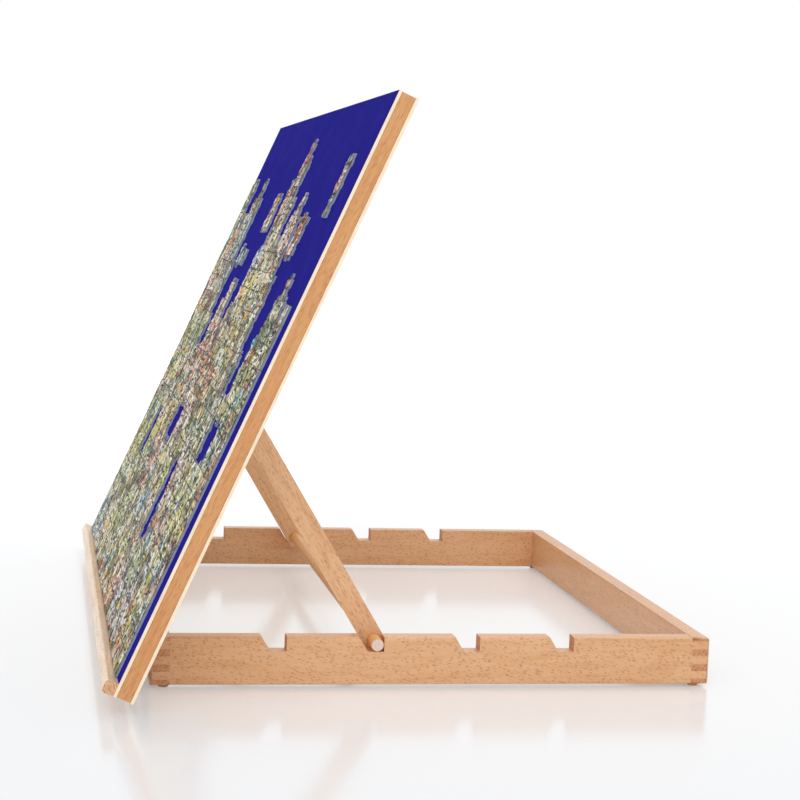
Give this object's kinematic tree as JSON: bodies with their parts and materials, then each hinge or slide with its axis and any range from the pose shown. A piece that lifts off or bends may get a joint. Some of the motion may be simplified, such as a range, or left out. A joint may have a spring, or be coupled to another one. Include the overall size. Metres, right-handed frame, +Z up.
{
  "type": "jigsaw puzzle board",
  "caption": "Wide felt-faced wooden jigsaw board, hinged to the front of a low open frame and held tilted by a two-armed prop whose dowel drops into notches.",
  "frame": {"origin": "on the table under the middle of the whole object's bounding box, as it stands tilted", "axes": "+X across, to the right for someone at the board; +Y from that person to the rear; +Z up"},
  "size_m": [0.76, 0.5252, 0.4935],
  "materials": {
    "beech": "oiled steamed beech with short dark flecks",
    "birch_dowel": "plain pale hardwood dowel",
    "pale_sheet": "thin pale sheet with sanded edges",
    "blue_felt": "short dense felt, deep royal blue",
    "zinc_steel": "zinc-plated",
    "clear_rubber": "slightly yellow clear bumper",
    "printed_card": "printed greyboard with a linen finish"
  },
  "bodies": {
    "base": {"base_side_rail_right": "beech", "base_side_rail_left": "beech", "base_front_rail": "beech", "base_rear_rail": "beech", "bumper_feet": "clear_rubber", "hinge_base_leaves": "zinc_steel", "hinge_pins": "zinc_steel", "hinge_screws_base": "zinc_steel"},
    "board": {"hinge_board_leaves": "zinc_steel", "hinge_screws_board": "zinc_steel", "board_stile_right": "beech", "board_stile_left": "beech", "board_top_rail": "beech", "board_bottom_rail": "beech", "board_cross_rail": "beech", "board_back_sheet": "pale_sheet", "board_front_sheet": "pale_sheet", "felt_surface": "blue_felt", "puzzle_ledge": "beech", "ledge_screws": "zinc_steel", "pivot_cleat_right": "beech", "pivot_cleat_left": "beech", "cleat_screws": "zinc_steel", "pivot_bolts": "zinc_steel", "pivot_washers": "zinc_steel", "pivot_nuts": "zinc_steel", "puzzle_section": "printed_card", "puzzle_clusters": "printed_card"},
    "prop": {"prop_arm_right": "beech", "prop_arm_left": "beech", "prop_dowel": "birch_dowel"}
  },
  "joints": [
    {"name": "board_tilt", "type": "hinge", "parent": "base", "child": "board", "pos_m": [0, -0.21843, 0.0466], "axis": [1, 0, 0], "range_deg": [0, 23]},
    {"name": "prop_swing", "type": "hinge", "parent": "board", "child": "prop", "pos_m": [0, -0.13935, 0.21287], "axis": [1, 0, 0], "range_deg": [0, 125]}
  ]
}
